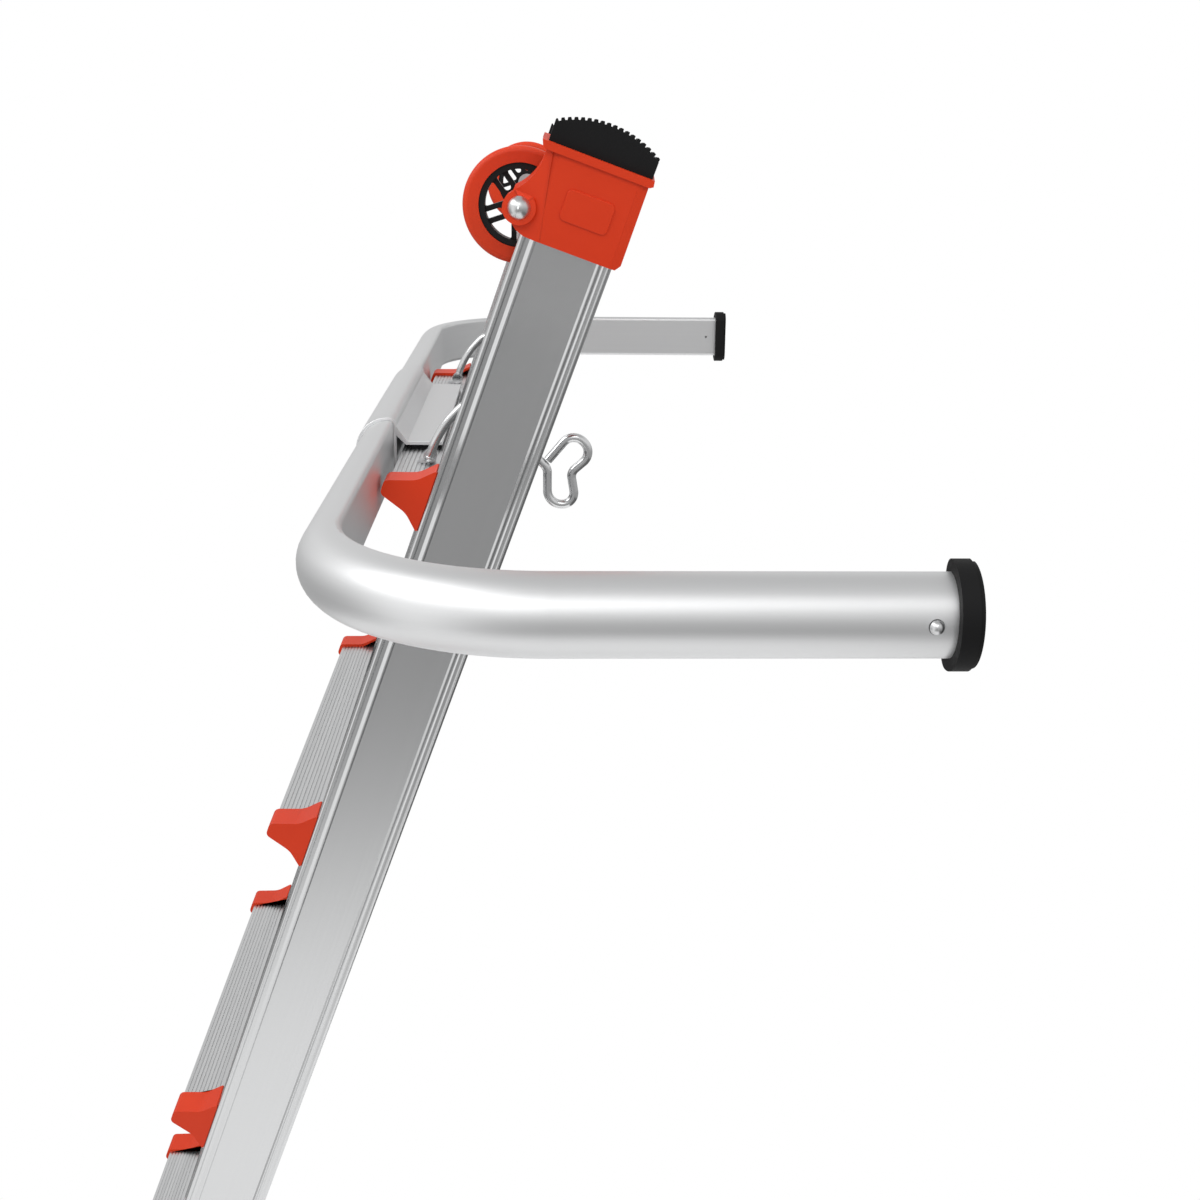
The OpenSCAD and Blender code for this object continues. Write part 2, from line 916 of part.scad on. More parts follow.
module bail() {
  at_edge() {
    leg(loop_path);
    left() leg(left_path);
    translate([0, cross_bar[0], cross_bar[1]])
      rod_x(-bail_x, bail_x, wire_r - 0.4);
  }
}

module bail_lug() {
  at_edge()
    difference() {
      union() {
        translate([0, bail_y, bail_z])
          rod_x(bail_x - 15, bail_x - 6, wire_r + 1.6);
        translate([bail_x - 15, bail_y - 9, tread_z])
          cube([9, 9, 2]);
      }
      translate([0, bail_y, bail_z])
        rod_x(bail_x - 30, bail_x + 10, wire_r + run_fit);
    }
}

module lower_outer_rail_left() { color(silver) lower() left() outer_rail(); }
module lower_outer_rail_right() { color(silver) lower() outer_rail(); }
module lower_outer_rungs() { color(silver) lower() outer_rungs(); }
module lower_rung_brackets() { color(orange) lower() brackets(); }
module lower_boot_left() { color(orange) lower() left() boot(false); }
module lower_boot_right() { color(orange) lower() boot(false); }
module lower_foot_left() { color(black) lower() left() foot(); }
module lower_foot_right() { color(black) lower() foot(); }
module lower_lock_housing_left() { color(black) lower() left() lock_housing(); }
module lower_lock_housing_right() { color(black) lower() lock_housing(); }
module lower_inner_rail_left() { color(silver) lower() left() inner_rail(); }
module lower_inner_rail_right() { color(silver) lower() inner_rail(); }
module lower_inner_rungs() { color(silver) lower() inner_rungs(); }
module hinge_fork_left() { color(steel) lower() left() fork(); }
module hinge_fork_right() { color(steel) lower() fork(); }
module hinge_sleeves() { color(steel) lower() { pivot_sleeve(); left() pivot_sleeve(); } }
module upper_inner_rail_left() { color(silver) upper() left() inner_rail(); }
module upper_inner_rail_right() { color(silver) upper() inner_rail(); }
module upper_inner_rungs() { color(silver) upper() inner_rungs(); }
module hinge_tongue_left() { color(steel) upper() left() tongue(); }
module hinge_tongue_right() { color(steel) upper() tongue(); }
module upper_outer_rail_left() { color(silver) upper() left() outer_rail(); }
module upper_outer_rail_right() { color(silver) upper() outer_rail(); }
module upper_outer_rungs() { color(silver) upper() outer_rungs(); }
module upper_rung_brackets() { color(orange) upper() brackets(); }
module upper_boot_left() { color(orange) upper() left() boot(true); }
module upper_boot_right() { color(orange) upper() boot(true); }
module upper_foot_left() { color(black) upper() left() foot(); }
module upper_foot_right() { color(black) upper() foot(); }
module upper_lock_housing_left() { color(black) upper() left() lock_housing(); }
module upper_lock_housing_right() { color(black) upper() lock_housing(); }
module wheel_axles() { color(black) upper() { axle(); left() axle(); } }
module bail_lugs() { color(steel) { bail_lug(); left() bail_lug(); } }
module standoff_liner() { color(black) liner_strip(); }
module standoff_sleeve() { color(silver) sleeve_and_plate(); }
module standoff_arm_left() { color(silver) left() arm(); }
module standoff_arm_right() { color(silver) arm(); }
module wall_pad_left() { color(black) left() pad(); }
module wall_pad_right() { color(black) pad(); }
module tyre_left() { color(orange) upper() left() tyre(); }
module tyre_right() { color(orange) upper() tyre(); }
module wheel_hub_left() { color(black) upper() left() hub(); }
module wheel_hub_right() { color(black) upper() hub(); }
module wire_bail() { color(steel) bail(); }
module spring_button_left() { color(steel) left() button(); }
module spring_button_right() { color(steel) button(); }
module hinge_knob_left() { color(orange) lower() left() knob(); }
module hinge_knob_right() { color(orange) lower() knob(); }
module lower_lock_pin_left() { color(steel) lower() left() lock_pin(); }
module lower_lock_pin_right() { color(steel) lower() lock_pin(); }
module upper_lock_pin_left() { color(steel) upper() left() lock_pin(); }
module upper_lock_pin_right() { color(steel) upper() lock_pin(); }
module lower_lock_handle_left() { color(orange) lower() left() lock_handle(); }
module lower_lock_handle_right() { color(orange) lower() lock_handle(); }
module upper_lock_handle_left() { color(orange) upper() left() lock_handle(); }
module upper_lock_handle_right() { color(orange) upper() lock_handle(); }

lower_outer_rail_left();
lower_outer_rail_right();
lower_outer_rungs();
lower_rung_brackets();
lower_boot_left();
lower_boot_right();
lower_foot_left();
lower_foot_right();
lower_lock_housing_left();
lower_lock_housing_right();
lower_inner_rail_left();
lower_inner_rail_right();
lower_inner_rungs();
hinge_fork_left();
hinge_fork_right();
hinge_sleeves();
upper_inner_rail_left();
upper_inner_rail_right();
upper_inner_rungs();
hinge_tongue_left();
hinge_tongue_right();
upper_outer_rail_left();
upper_outer_rail_right();
upper_outer_rungs();
upper_rung_brackets();
upper_boot_left();
upper_boot_right();
upper_foot_left();
upper_foot_right();
upper_lock_housing_left();
upper_lock_housing_right();
wheel_axles();
bail_lugs();
standoff_sleeve();
standoff_liner();
standoff_arm_left();
standoff_arm_right();
wall_pad_left();
wall_pad_right();
tyre_left();
tyre_right();
wheel_hub_left();
wheel_hub_right();
wire_bail();
spring_button_left();
spring_button_right();
hinge_knob_left();
hinge_knob_right();
lower_lock_pin_left();
lower_lock_pin_right();
upper_lock_pin_left();
upper_lock_pin_right();
lower_lock_handle_left();
lower_lock_handle_right();
upper_lock_handle_left();
upper_lock_handle_right();
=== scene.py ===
import bpy, bmesh, json, math
from mathutils import Matrix, Vector


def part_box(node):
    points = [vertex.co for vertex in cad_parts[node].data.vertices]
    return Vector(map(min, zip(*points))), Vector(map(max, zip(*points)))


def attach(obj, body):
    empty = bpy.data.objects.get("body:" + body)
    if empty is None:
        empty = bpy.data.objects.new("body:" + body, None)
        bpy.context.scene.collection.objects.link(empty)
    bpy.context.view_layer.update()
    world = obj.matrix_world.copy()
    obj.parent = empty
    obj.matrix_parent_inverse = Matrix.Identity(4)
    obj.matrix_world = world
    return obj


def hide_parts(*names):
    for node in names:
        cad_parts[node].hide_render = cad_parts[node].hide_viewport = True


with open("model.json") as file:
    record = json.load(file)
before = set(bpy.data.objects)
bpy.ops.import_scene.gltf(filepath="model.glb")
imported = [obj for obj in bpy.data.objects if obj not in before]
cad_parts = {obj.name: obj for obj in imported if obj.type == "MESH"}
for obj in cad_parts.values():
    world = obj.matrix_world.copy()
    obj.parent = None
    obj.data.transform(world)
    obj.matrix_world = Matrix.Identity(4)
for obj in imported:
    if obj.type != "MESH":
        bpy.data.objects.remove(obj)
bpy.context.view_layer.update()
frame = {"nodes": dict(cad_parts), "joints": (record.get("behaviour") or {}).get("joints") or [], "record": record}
nodes = frame["nodes"]

# The camera stands to the climber's right, a little over the height of the top tread,
# and looks across the ladder with a 48 mm lens. It is placed from the middle of that
# tread's front edge, which lies behind the front and below the top of the stand-off's sleeve.
edge_behind_sleeve, edge_below_sleeve = 0.03565, 0.02325
camera_from_edge = Vector((1.42796, 0.11512, 0.24326))
right = Vector((0.0338037584, 0.999372854, 0.0105453920))
down = Vector((0.280247401, 0.000649804767, -0.959927587))
ahead = Vector((-0.959332424, 0.0354044790, -0.280049679))
low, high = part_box("standoff_sleeve")
tread_edge = Vector((0, low[1] + edge_behind_sleeve, high[2] - edge_below_sleeve))
camera_data = bpy.data.cameras.new("camera")
camera_data.sensor_width = 36
camera_data.lens = 47.97
camera_data.clip_end = 100
camera = bpy.data.objects.new("camera", camera_data)
bpy.context.collection.objects.link(camera)
bpy.context.scene.camera = camera
turned = Matrix((right, -down, -ahead)).transposed().to_4x4()
camera.matrix_world = Matrix.Translation(tread_edge + camera_from_edge) @ turned

# Surround and lamps: the surround is white where it is seen straight, in a mirror or
# through glass, and a dimmer light for the rest. Four broad soft lamps hang round the
# top of the ladder, and two of them don't show in the metal.
bpy.context.scene.view_settings.view_transform = "Standard"
world = bpy.data.worlds.new("studio")
bpy.context.scene.world = world
world.use_nodes = True
tree = world.node_tree
tree.nodes.clear()


def seen_directly(tree):
    """1 for what the camera sees straight, in a mirror or through glass."""
    path = tree.nodes.new("ShaderNodeLightPath")
    total = path.outputs["Is Camera Ray"]
    for name in ("Is Glossy Ray", "Is Transmission Ray"):
        larger = tree.nodes.new("ShaderNodeMath")
        larger.operation = "MAXIMUM"
        tree.links.new(total, larger.inputs[0])
        tree.links.new(path.outputs[name], larger.inputs[1])
        total = larger.outputs[0]
    return total


soft = tree.nodes.new("ShaderNodeBackground")
soft.inputs["Color"].default_value = (1, 1, 1, 1)
soft.inputs["Strength"].default_value = 0.55
white = tree.nodes.new("ShaderNodeBackground")
white.inputs["Color"].default_value = (1, 1, 1, 1)
white.inputs["Strength"].default_value = 1
mix = tree.nodes.new("ShaderNodeMixShader")
tree.links.new(seen_directly(tree), mix.inputs[0])
tree.links.new(soft.outputs[0], mix.inputs[1])
tree.links.new(white.outputs[0], mix.inputs[2])
out = tree.nodes.new("ShaderNodeOutputWorld")
tree.links.new(mix.outputs[0], out.inputs["Surface"])


def lamp(name, place, aim, size, power, mirrored=True):
    """A soft box lamp turned towards a point, in metres and watts."""
    data = bpy.data.lights.new(name, "AREA")
    data.shape = "RECTANGLE"
    data.size, data.size_y = size
    data.energy = power
    item = bpy.data.objects.new(name, data)
    item.location = place
    item.rotation_euler = (Vector(aim) - Vector(place)).to_track_quat("-Z", "Y").to_euler()
    item.visible_glossy = mirrored
    bpy.context.collection.objects.link(item)


lamp("climber_side", place=(1.3, -2.1, 6.0), aim=(0.3, 0.9, 2.9), size=(3.6, 2.2), power=66)
lamp("camera_side", place=(3.85, 0.3, 5.8), aim=(0.5, 0.9, 2.9), size=(6.0, 2.2), power=56)
lamp("wall_side", place=(3.4, 4.0, 4.6), aim=(0, 0.9, 2.6), size=(2.4, 2.4), power=46, mirrored=False)
lamp("overhead", place=(0, 0.9, 6.4), aim=(0, 0.9, 2.9), size=(3.0, 3.0), power=50, mirrored=False)

# Paper floor: a wide sheet of white paper. It carries the ladder's shadow near the feet
# and fades to the white of the surround further out.
floor_half = 30
shadow_end, white_start = 1.0, 2.2
paper = bpy.data.materials.new("floor_paper")
paper.use_nodes = True
tree = paper.node_tree
shade = tree.nodes["Principled BSDF"]
shade.inputs["Roughness"].default_value = 0.9
shade.inputs["Specular IOR Level"].default_value = 0.1
place = tree.nodes.new("ShaderNodeTexCoord")
tone = tree.nodes.new("ShaderNodeTexNoise")
tone.inputs["Scale"].default_value = 3
tree.links.new(place.outputs["Object"], tone.inputs["Vector"])
ramp = tree.nodes.new("ShaderNodeValToRGB")
ramp.color_ramp.elements[0].color = (0.92, 0.92, 0.92, 1)
ramp.color_ramp.elements[1].color = (0.95, 0.95, 0.95, 1)
tree.links.new(tone.outputs["Fac"], ramp.inputs["Fac"])
tree.links.new(ramp.outputs["Color"], shade.inputs["Base Color"])
reach = tree.nodes.new("ShaderNodeVectorMath")
reach.operation = "LENGTH"
tree.links.new(place.outputs["Object"], reach.inputs[0])
fade = tree.nodes.new("ShaderNodeMapRange")
fade.interpolation_type = "SMOOTHSTEP"
fade.inputs["From Min"].default_value = shadow_end
fade.inputs["From Max"].default_value = white_start
tree.links.new(reach.outputs["Value"], fade.inputs["Value"])


def product(tree, *factors):
    """The socket on which the values of all the given sockets are multiplied."""
    total = factors[0]
    for factor in factors[1:]:
        times = tree.nodes.new("ShaderNodeMath")
        times.operation = "MULTIPLY"
        tree.links.new(total, times.inputs[0])
        tree.links.new(factor, times.inputs[1])
        total = times.outputs[0]
    return total


glow = tree.nodes.new("ShaderNodeEmission")
mix = tree.nodes.new("ShaderNodeMixShader")
tree.links.new(product(tree, seen_directly(tree), fade.outputs["Result"]), mix.inputs[0])
tree.links.new(shade.outputs[0], mix.inputs[1])
tree.links.new(glow.outputs[0], mix.inputs[2])
tree.links.new(mix.outputs[0], tree.nodes["Material Output"].inputs["Surface"])


def stage_piece(name, shape, material):
    """A piece of the studio, which isn't part of the ladder."""
    data = bpy.data.meshes.new(name)
    shape.to_mesh(data)
    shape.free()
    data.materials.append(material)
    item = bpy.data.objects.new(name, data)
    bpy.context.collection.objects.link(item)
    return item


shape = bmesh.new()
bmesh.ops.create_grid(shape, x_segments=1, y_segments=1, size=floor_half)
stage_piece("floor", shape, paper)

# Mirror tent: a ball round the ladder that glows, though it is no lamp, and shows in mirrors alone;
# its greys are painted reflections, so that flat aluminium goes from mid grey at eye height to light
# below. On the climber's side, towards the camera and up to about 4 m, it glows in a white window,
# a painted highlight which rounded edges catch.
tent_middle, tent_radius = (0, 0.9, 3.6), 4.95
tones_height = 8
# The painted reflection's grey from the floor up: a share of tones_height and the grey there.
tones = ((0, 0.62), (0.03, 0.42), (0.06, 0.25), (0.125, 0.35),
         (0.27, 0.36), (0.56, 0.74), (0.76, 0.72), (0.92, 0.50))


def glowing(name):
    """A material that only shines, and the node that takes its colour."""
    material = bpy.data.materials.new(name)
    material.use_nodes = True
    tree = material.node_tree
    tree.nodes.clear()
    glow = tree.nodes.new("ShaderNodeEmission")
    out = tree.nodes.new("ShaderNodeOutputMaterial")
    tree.links.new(glow.outputs[0], out.inputs["Surface"])
    return material, glow


# The tent's glow is painted reflection: greys and a white window that only mirrors show.
tent_reflection_glow, glow = glowing("tent_painted_reflection")
tree = tent_reflection_glow.node_tree
place = tree.nodes.new("ShaderNodeTexCoord")
split = tree.nodes.new("ShaderNodeSeparateXYZ")
tree.links.new(place.outputs["Object"], split.inputs["Vector"])
rise = tree.nodes.new("ShaderNodeMapRange")
rise.inputs["From Max"].default_value = tones_height
tree.links.new(split.outputs["Z"], rise.inputs["Value"])
ramp = tree.nodes.new("ShaderNodeValToRGB")
steps = ramp.color_ramp.elements
while len(steps) < len(tones):
    steps.new(0.5)
for step, (spot, grey) in zip(steps, tones):
    step.position = spot
    step.color = (grey, grey, grey, 1)
tree.links.new(rise.outputs["Result"], ramp.inputs["Fac"])


def fade_along(axis, start, end):
    """0 before the start and 1 past the end, in metres along an axis of the studio."""
    step = tree.nodes.new("ShaderNodeMapRange")
    step.interpolation_type = "SMOOTHSTEP"
    step.inputs["From Min"].default_value = start
    step.inputs["From Max"].default_value = end
    tree.links.new(split.outputs[axis], step.inputs["Value"])
    return step.outputs["Result"]


window = product(tree, fade_along("Y", -0.6, -2.4), fade_along("X", 0.6, 2.0), fade_along("Z", 4.6, 3.6))
lit = tree.nodes.new("ShaderNodeMix")
lit.data_type = "RGBA"
lit.inputs["B"].default_value = (1, 1, 1, 1)
tree.links.new(window, lit.inputs["Factor"])
tree.links.new(ramp.outputs["Color"], lit.inputs["A"])
tree.links.new(lit.outputs["Result"], glow.inputs["Color"])


def show_in_mirrors_alone(item):
    item.visible_camera = False
    item.visible_diffuse = False
    item.visible_transmission = False
    item.visible_shadow = False


shape = bmesh.new()
bmesh.ops.create_icosphere(shape, subdivisions=4, radius=tent_radius, matrix=Matrix.Translation(tent_middle))
show_in_mirrors_alone(stage_piece("tent", shape, tent_reflection_glow))

# Dark card: an upright board behind the ladder, near the floor, that glows a dim grey though it is
# no lamp. It shows in mirrors alone too, and its glow draws painted dark reflections along the rear
# slopes of the rails.
card_place, card_half_size = (0, 2.4, 1.05), (2.5, 1.0)
# The card's dim grey glow is a painted dark reflection that only mirrors show.
card_reflection_glow, glow = glowing("dark_card")
glow.inputs["Color"].default_value = (0.14, 0.14, 0.14, 1)
shape = bmesh.new()
bmesh.ops.create_grid(shape, x_segments=1, y_segments=1, size=1)
upright = Matrix.Rotation(math.pi / 2, 4, "X") @ Matrix.Diagonal((*card_half_size, 1, 1))
bmesh.ops.transform(shape, verts=shape.verts, matrix=Matrix.Translation(card_place) @ upright)
show_in_mirrors_alone(stage_piece("card", shape, card_reflection_glow))

# Outer and inner rails: aluminium channels in mill finish, on which the die leaves fine
# lines along the whole length. The outer web has two grooves and a sunk panel with sloped
# walls and a bead near its rear edge, and its long corners are rounded.
rail_axis = Vector(next(j for j in frame["joints"] if j["name"] == "upper_slide")["axis"]).normalized()
lean = math.atan2(rail_axis.y, rail_axis.z)
across = Vector((0, math.cos(lean), -math.sin(lean)))
body_of = {n: b for b, names in frame["record"]["behaviour"]["bodies"].items() for n in names}


def die_lines_group():
    """Fine lines from a stretched place, and broad clouds over the same place."""
    group = bpy.data.node_groups.new("die_lines", "ShaderNodeTree")
    group.interface.new_socket("Vector", in_out="INPUT", socket_type="NodeSocketVector")
    group.interface.new_socket("Lines", in_out="OUTPUT", socket_type="NodeSocketFloat")
    group.interface.new_socket("Cloud", in_out="OUTPUT", socket_type="NodeSocketFloat")
    enter = group.nodes.new("NodeGroupInput")
    leave = group.nodes.new("NodeGroupOutput")
    lines = group.nodes.new("ShaderNodeTexNoise")
    lines.inputs["Scale"].default_value = 1
    lines.inputs["Detail"].default_value = 4
    group.links.new(enter.outputs["Vector"], lines.inputs["Vector"])
    group.links.new(lines.outputs["Fac"], leave.inputs["Lines"])
    cloud = group.nodes.new("ShaderNodeTexNoise")
    cloud.inputs["Scale"].default_value = 0.9
    cloud.inputs["Detail"].default_value = 3
    group.links.new(enter.outputs["Vector"], cloud.inputs["Vector"])
    group.links.new(cloud.outputs["Fac"], leave.inputs["Cloud"])
    return group


die_lines = die_lines_group()


def drawn_metal(name, colour, spread, rough, turn, stretch, bump=0.02):
    """Metal with lines along one direction: turn lines it up with an axis, stretch scales each axis.

    The colour goes down by the share spread between the lines.
    """
    sleek, dull = rough - 0.01, rough + 0.015
    metal = bpy.data.materials.new(name)
    metal.use_nodes = True
    tree = metal.node_tree
    shade = tree.nodes["Principled BSDF"]
    shade.inputs["Metallic"].default_value = 1
    place = tree.nodes.new("ShaderNodeTexCoord")
    straight = tree.nodes.new("ShaderNodeMapping")
    straight.inputs["Rotation"].default_value = turn
    tree.links.new(place.outputs["Object"], straight.inputs["Vector"])
    pulled = tree.nodes.new("ShaderNodeMapping")
    pulled.inputs["Scale"].default_value = stretch
    tree.links.new(straight.outputs["Vector"], pulled.inputs["Vector"])
    lines = tree.nodes.new("ShaderNodeGroup")
    lines.node_tree = die_lines
    tree.links.new(pulled.outputs["Vector"], lines.inputs["Vector"])
    ramp = tree.nodes.new("ShaderNodeValToRGB")
    ramp.color_ramp.elements[0].position = 0.3
    ramp.color_ramp.elements[0].color = (*[c * (1 - spread) for c in colour], 1)
    ramp.color_ramp.elements[1].position = 0.7
    ramp.color_ramp.elements[1].color = (*colour, 1)
    tree.links.new(lines.outputs["Lines"], ramp.inputs["Fac"])
    tree.links.new(ramp.outputs["Color"], shade.inputs["Base Color"])
    grain = tree.nodes.new("ShaderNodeMapRange")
    grain.inputs["To Min"].default_value = sleek
    grain.inputs["To Max"].default_value = dull
    tree.links.new(lines.outputs["Cloud"], grain.inputs["Value"])
    tree.links.new(grain.outputs["Result"], shade.inputs["Roughness"])
    height = tree.nodes.new("ShaderNodeBump")
    height.inputs["Strength"].default_value = bump
    height.inputs["Distance"].default_value = 0.001
    tree.links.new(lines.outputs["Lines"], height.inputs["Height"])
    tree.links.new(height.outputs["Normal"], shade.inputs["Normal"])
    return metal


def paint(material, *names):
    """Gives CAD nodes, whose shape stays as it is, their material."""
    for name in names:
        data = nodes[name].data
        data.materials.clear()
        data.materials.append(material)


def join_flat_faces(shape):
    bmesh.ops.dissolve_limit(shape, angle_limit=math.radians(0.2), verts=shape.verts, edges=shape.edges,
                             use_dissolve_boundaries=False, delimit=set())


def merged(name):
    """A closed copy of a CAD node's mesh, with its flat faces whole."""
    shape = bmesh.new()
    shape.from_mesh(nodes[name].data)
    bmesh.ops.remove_doubles(shape, verts=shape.verts, dist=2e-6)
    join_flat_faces(shape)
    return shape


def cut_across(shape, faces, depth):
    """Cuts the given faces alone, in a plane that lies at a depth across the rail."""
    parts = [*faces, *(e for f in faces for e in f.edges), *(v for f in faces for v in f.verts)]
    bmesh.ops.bisect_plane(shape, geom=list(dict.fromkeys(parts)), dist=1e-6,
                           plane_co=across * depth, plane_no=across)


def round_edges(shape, edges, width, segments):
    bmesh.ops.bevel(shape, geom=edges, offset=width, offset_type="OFFSET", segments=segments, profile=0.5,
                    affect="EDGES", material=-1, clamp_overlap=True)


def finished(shape, name, material, body, sharp=32):
    """A new piece of the ladder: faces that meet at less than the sharp angle are shaded as one."""
    data = bpy.data.meshes.new(name)
    for face in shape.faces:
        face.smooth = True
    shape.to_mesh(data)
    shape.free()
    data.set_sharp_from_angle(angle=math.radians(sharp))
    data.materials.append(material)
    piece = bpy.data.objects.new(name, data)
    bpy.context.collection.objects.link(piece)
    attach(piece, body)
    return piece


rail_metal = drawn_metal("rail_aluminium", colour=(0.73, 0.735, 0.74), spread=0.02, rough=0.24,
                         turn=(lean, 0, 0), stretch=(6, 620, 0.8), bump=0.002)
paint(rail_metal, *[n for n in nodes if "inner_rail_" in n])
# Depths from the rail's front face. Each wall of the grooves and of the sunk panel stands at the
# first depth. The web is sunk behind it (1) or in front of it (-1), and once it is sloped, its
# top and its foot lie at the last two depths.
walls = ((0.0041, 1, 0.0036, 0.0046), (0.0074, -1, 0.0102, 0.0075), (0.0117, 1, 0.0112, 0.0122),
         (0.0568, -1, 0.0577, 0.0562), (0.0581, 1, 0.0583, 0.0595), (0.0614, -1, 0.0614, 0.0602))
# The land behind the last wall is sunk up to the foot of the bead, and rises to the bead's top.
land_front = walls[-1][0]
bead_foot, bead_top, bead_rise = 0.0636, 0.0647, 0.00045
corner_round = 0.0032
# Smaller faces and shorter edges are left alone, and depths this near count as the same.
land_area, shortest_corner = 1e-4, 0.2
same_depth, same_face = 5e-5, 1e-4
# A face looks in a direction when its normal has at least this share of it.
facing = 0.9


def cut_bead(rail, side, front):
    """Cuts the land behind the last wall where the bead begins and where it is full."""
    for depth in (bead_foot, bead_top):
        land = [f for f in rail.faces if f.normal.x * side > facing and f.calc_area() > land_area
                and f.calc_center_bounds() @ across - front > land_front]
        cut_across(rail, land, front + depth)
    rail.normal_update()


def slope_web(rail, side, front):
    """Moves the tops and feet of the walls apart, and sinks the land in front of the bead."""
    moves = []
    for v in rail.verts:
        outward = [f for f in v.link_faces if f.normal.x * side > facing]
        if not outward:
            continue
        at = v.co @ across - front
        middle = sum(f.calc_center_bounds() @ across for f in outward) / len(outward) - front
        for wall, sunk_side, top, foot in walls:
            if abs(at - wall) < same_depth:
                moves.append((v, across * ((foot if (middle - wall) * sunk_side > 0 else top) - at)))
        on_land_front = abs(at - land_front) < same_depth and middle > land_front
        if on_land_front or abs(at - bead_foot) < same_depth:
            moves.append((v, -outward[0].normal * bead_rise))
    for v, move in moves:
        v.co += move
    rail.normal_update()


def long_corners(rail, side, front, rear):
    """The edges along the rail where the outer web meets the front and the rear flange."""
    corners = []
    for edge in rail.edges:
        if len(edge.link_faces) == 2 and edge.calc_length() > shortest_corner:
            at = edge.verts[0].co @ across
            outer = [f.normal.x * side > facing for f in edge.link_faces]
            flange = [abs(f.normal @ across) > facing for f in edge.link_faces]
            if any(outer) and any(flange) and min(abs(at - front), abs(at - rear)) < same_face:
                corners.append(edge)
    return corners


for name in [n for n in nodes if "outer_rail_" in n]:
    side = -1 if name.endswith("left") else 1
    rail = merged(name)
    depths = [v.co @ across for v in rail.verts]
    front, rear = min(depths), max(depths)
    cut_bead(rail, side, front)
    slope_web(rail, side, front)
    round_edges(rail, long_corners(rail, side, front, rear), corner_round, segments=12)
    piece = finished(rail, name + "_piece", rail_metal, body_of[name], sharp=9)
    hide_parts(name)

# Rungs: hollow wedges of the same aluminium, grooved on top and level when the ladder
# leans. Their ends are fixed to the rails, and their die lines run sideways.
rung_metal = drawn_metal("rung_aluminium", colour=(0.79, 0.795, 0.80), spread=0.13, rough=0.34,
                         turn=(lean, 0, 0), stretch=(2, 420, 420))
paint(rung_metal, *[n for n in nodes if n.endswith("_rungs")])

# Brackets: shells of orange moulded nylon with a faint spark texture, which wrap the ends
# of the rungs. The flare runs into the rail in a hollow curve, and the nose is rounded.
bend_round, nose_round, edge_round = 0.0045, 0.0035, 0.0012
# A bend or a nose runs sideways for at least this length, and folds by at least these degrees.
shortest_bend, least_bend, least_nose = 0.012, 8, 25
sideways, forwards = 0.99, 0.7


def spark_group():
    """Broad clouds, and the fine pits that a spark-eroded mould leaves, of the given scale."""
    group = bpy.data.node_groups.new("spark_texture", "ShaderNodeTree")
    group.interface.new_socket("Vector", in_out="INPUT", socket_type="NodeSocketVector")
    group.interface.new_socket("Grain", in_out="INPUT", socket_type="NodeSocketFloat")
    group.interface.new_socket("Cloud", in_out="OUTPUT", socket_type="NodeSocketFloat")
    group.interface.new_socket("Pits", in_out="OUTPUT", socket_type="NodeSocketFloat")
    enter = group.nodes.new("NodeGroupInput")
    leave = group.nodes.new("NodeGroupOutput")
    cloud = group.nodes.new("ShaderNodeTexNoise")
    cloud.inputs["Scale"].default_value = 14
    cloud.inputs["Detail"].default_value = 4
    group.links.new(enter.outputs["Vector"], cloud.inputs["Vector"])
    group.links.new(cloud.outputs["Fac"], leave.inputs["Cloud"])
    pits = group.nodes.new("ShaderNodeTexNoise")
    pits.inputs["Detail"].default_value = 2
    group.links.new(enter.outputs["Vector"], pits.inputs["Vector"])
    group.links.new(enter.outputs["Grain"], pits.inputs["Scale"])
    group.links.new(pits.outputs["Fac"], leave.inputs["Pits"])
    return group


spark_texture = spark_group()


def moulded(name, colour, light, rough, grain=900, bump=0.04, shine=0.25):
    """Plastic or rubber: the colour clouds over to the light one, and fine pits dull it."""
    sleek, dull = rough - 0.05, rough + 0.08
    plastic = bpy.data.materials.new(name)
    plastic.use_nodes = True
    tree = plastic.node_tree
    shade = tree.nodes["Principled BSDF"]
    shade.inputs["Specular IOR Level"].default_value = shine
    place = tree.nodes.new("ShaderNodeTexCoord")
    spark = tree.nodes.new("ShaderNodeGroup")
    spark.node_tree = spark_texture
    spark.inputs["Grain"].default_value = grain
    tree.links.new(place.outputs["Object"], spark.inputs["Vector"])
    ramp = tree.nodes.new("ShaderNodeValToRGB")
    ramp.color_ramp.elements[0].position = 0.25
    ramp.color_ramp.elements[0].color = (*colour, 1)
    ramp.color_ramp.elements[1].position = 0.75
    ramp.color_ramp.elements[1].color = (*light, 1)
    tree.links.new(spark.outputs["Cloud"], ramp.inputs["Fac"])
    tree.links.new(ramp.outputs["Color"], shade.inputs["Base Color"])
    gloss = tree.nodes.new("ShaderNodeMapRange")
    gloss.inputs["To Min"].default_value = sleek
    gloss.inputs["To Max"].default_value = dull
    tree.links.new(spark.outputs["Cloud"], gloss.inputs["Value"])
    tree.links.new(gloss.outputs["Result"], shade.inputs["Roughness"])
    height = tree.nodes.new("ShaderNodeBump")
    height.inputs["Strength"].default_value = bump
    height.inputs["Distance"].default_value = 0.001
    tree.links.new(spark.outputs["Pits"], height.inputs["Height"])
    tree.links.new(height.outputs["Normal"], shade.inputs["Normal"])
    return plastic


def soft_edges(piece, width, segments):
    finish = piece.modifiers.new("soft_edges", "BEVEL")
    finish.width = width
    finish.segments = segments
    finish.limit_method = "ANGLE"
    finish.angle_limit = math.radians(30)
    flats = piece.modifiers.new("flats", "WEIGHTED_NORMAL")
    flats.keep_sharp = True


def stand_in(shape, name, material, width, segments):
    """A piece with rounded edges that is shown in place of the CAD node of that name."""
    piece = finished(shape, name + "_piece", material, body_of[name])
    soft_edges(piece, width, segments)
    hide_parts(name)


